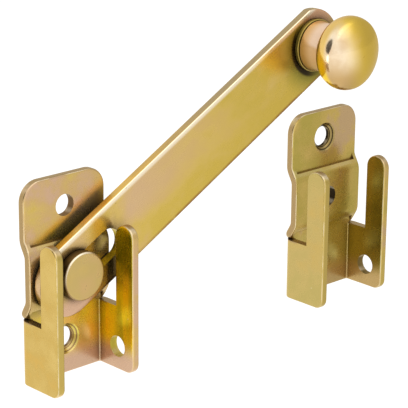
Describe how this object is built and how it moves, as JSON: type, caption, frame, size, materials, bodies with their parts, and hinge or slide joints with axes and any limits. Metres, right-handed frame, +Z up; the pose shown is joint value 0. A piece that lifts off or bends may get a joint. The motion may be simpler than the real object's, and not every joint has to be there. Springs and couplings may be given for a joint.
{
  "type": "gate bolt",
  "caption": "Throw-over gate bolt: a slotted flat bar with a turned knob swings on a riveted forked bracket and drops into the fork of a separate keeper bracket.",
  "frame": {"origin": "midway between the bolt holes of the pivot bracket, in the plane of the gate", "axes": "+X along the closed bar towards the keeper, +Y into the gate, +Z up"},
  "size_m": [0.1898, 0.0398, 0.1323],
  "materials": {
    "pivot_bracket": "yellow-chromated zinc plate, satin, iridescent gold",
    "keeper_bracket": "yellow-chromated zinc plate, satin, slightly olive gold",
    "pivot_rivet": "yellow-chromated zinc plate on a turned rivet, satin",
    "latch_bar": "yellow-chromated zinc plate, satin, with pink and green tints",
    "knob": "yellow-chromated zinc plate on a turned knob, polished"
  },
  "bodies": {
    "brackets": {"pivot_bracket": "pivot_bracket", "keeper_bracket": "keeper_bracket"},
    "pivot": {"pivot_rivet": "pivot_rivet"},
    "throw_bar": {"latch_bar": "latch_bar", "knob": "knob"}
  },
  "joints": [
    {"name": "swing", "type": "hinge", "parent": "brackets", "child": "pivot", "pos_m": [0, 0, 0.00145], "axis": [0, -1, 0], "range_deg": [-29.5, 155.5]},
    {"name": "draw", "type": "slide", "parent": "pivot", "child": "throw_bar", "axis": [0.8763, 0, 0.4818], "range_m": [-0.0045, 0]}
  ]
}
